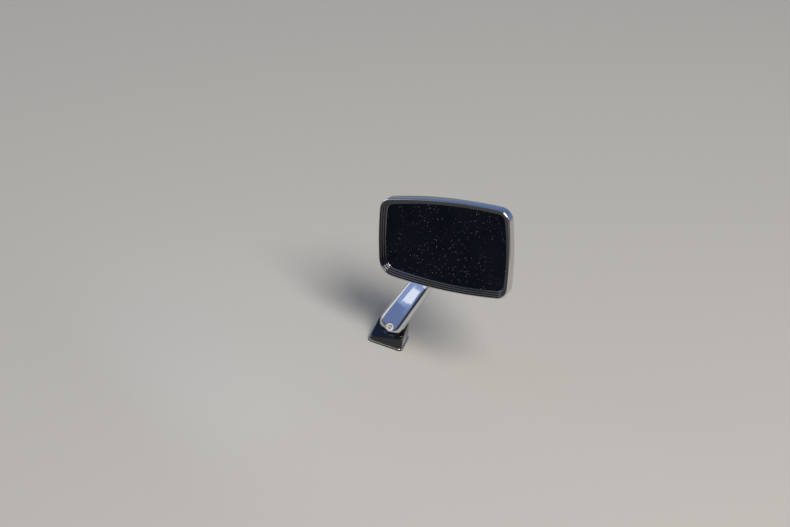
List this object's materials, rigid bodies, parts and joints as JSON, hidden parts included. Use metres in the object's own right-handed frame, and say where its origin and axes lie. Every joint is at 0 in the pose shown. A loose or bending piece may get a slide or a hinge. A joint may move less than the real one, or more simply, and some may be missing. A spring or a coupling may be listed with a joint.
{
  "type": "wing mirror",
  "caption": "Chrome wing mirror for a classic car: foot on the wing panel, bevelled arm on a pivot screw, and a tapered mirror head on a ball joint.",
  "frame": {"origin": "middle of the mounting face, under the foot gasket, on the wing panel", "axes": "+Z away from the wing panel, +X outboard on the right-hand side of the car, +Y forward; the glass looks back towards the driver"},
  "size_m": [0.1459, 0.087, 0.1909],
  "materials": {
    "chrome": "polished",
    "dark_chrome": "polished",
    "rim_chrome": "polished",
    "shell_chrome": "polished",
    "screw_steel": "polished",
    "ball_steel": "satin",
    "socket_steel": "satin",
    "rubber": "matte",
    "mirror": "mirror"
  },
  "bodies": {
    "base": {"foot_gasket": "rubber", "foot": "dark_chrome", "pivot_screw": "screw_steel"},
    "arm": {"arm": "chrome"},
    "ball": {"swivel_ball": "ball_steel"},
    "head": {"ball_socket": "socket_steel", "head_shell": "shell_chrome", "head_rim": "rim_chrome", "glass_seal": "rubber", "mirror_glass": "mirror"}
  },
  "joints": [
    {"name": "arm_pivot", "type": "hinge", "parent": "base", "child": "arm", "pos_m": [-0.0018, -0.00635, 0.01805], "axis": [-0.3745, -0.7959, 0.4756], "range_deg": [-10, 10]},
    {"name": "head_pan", "type": "hinge", "parent": "arm", "child": "ball", "pos_m": [0.03144, 0.01186, 0.12566], "axis": [-0.233, 0.2099, 0.9496], "range_deg": [-8, 8]},
    {"name": "head_tilt", "type": "hinge", "parent": "ball", "child": "head", "pos_m": [0.03144, 0.01186, 0.12566], "axis": [0.9161, -0.2801, 0.2867], "range_deg": [-8, 8]}
  ]
}
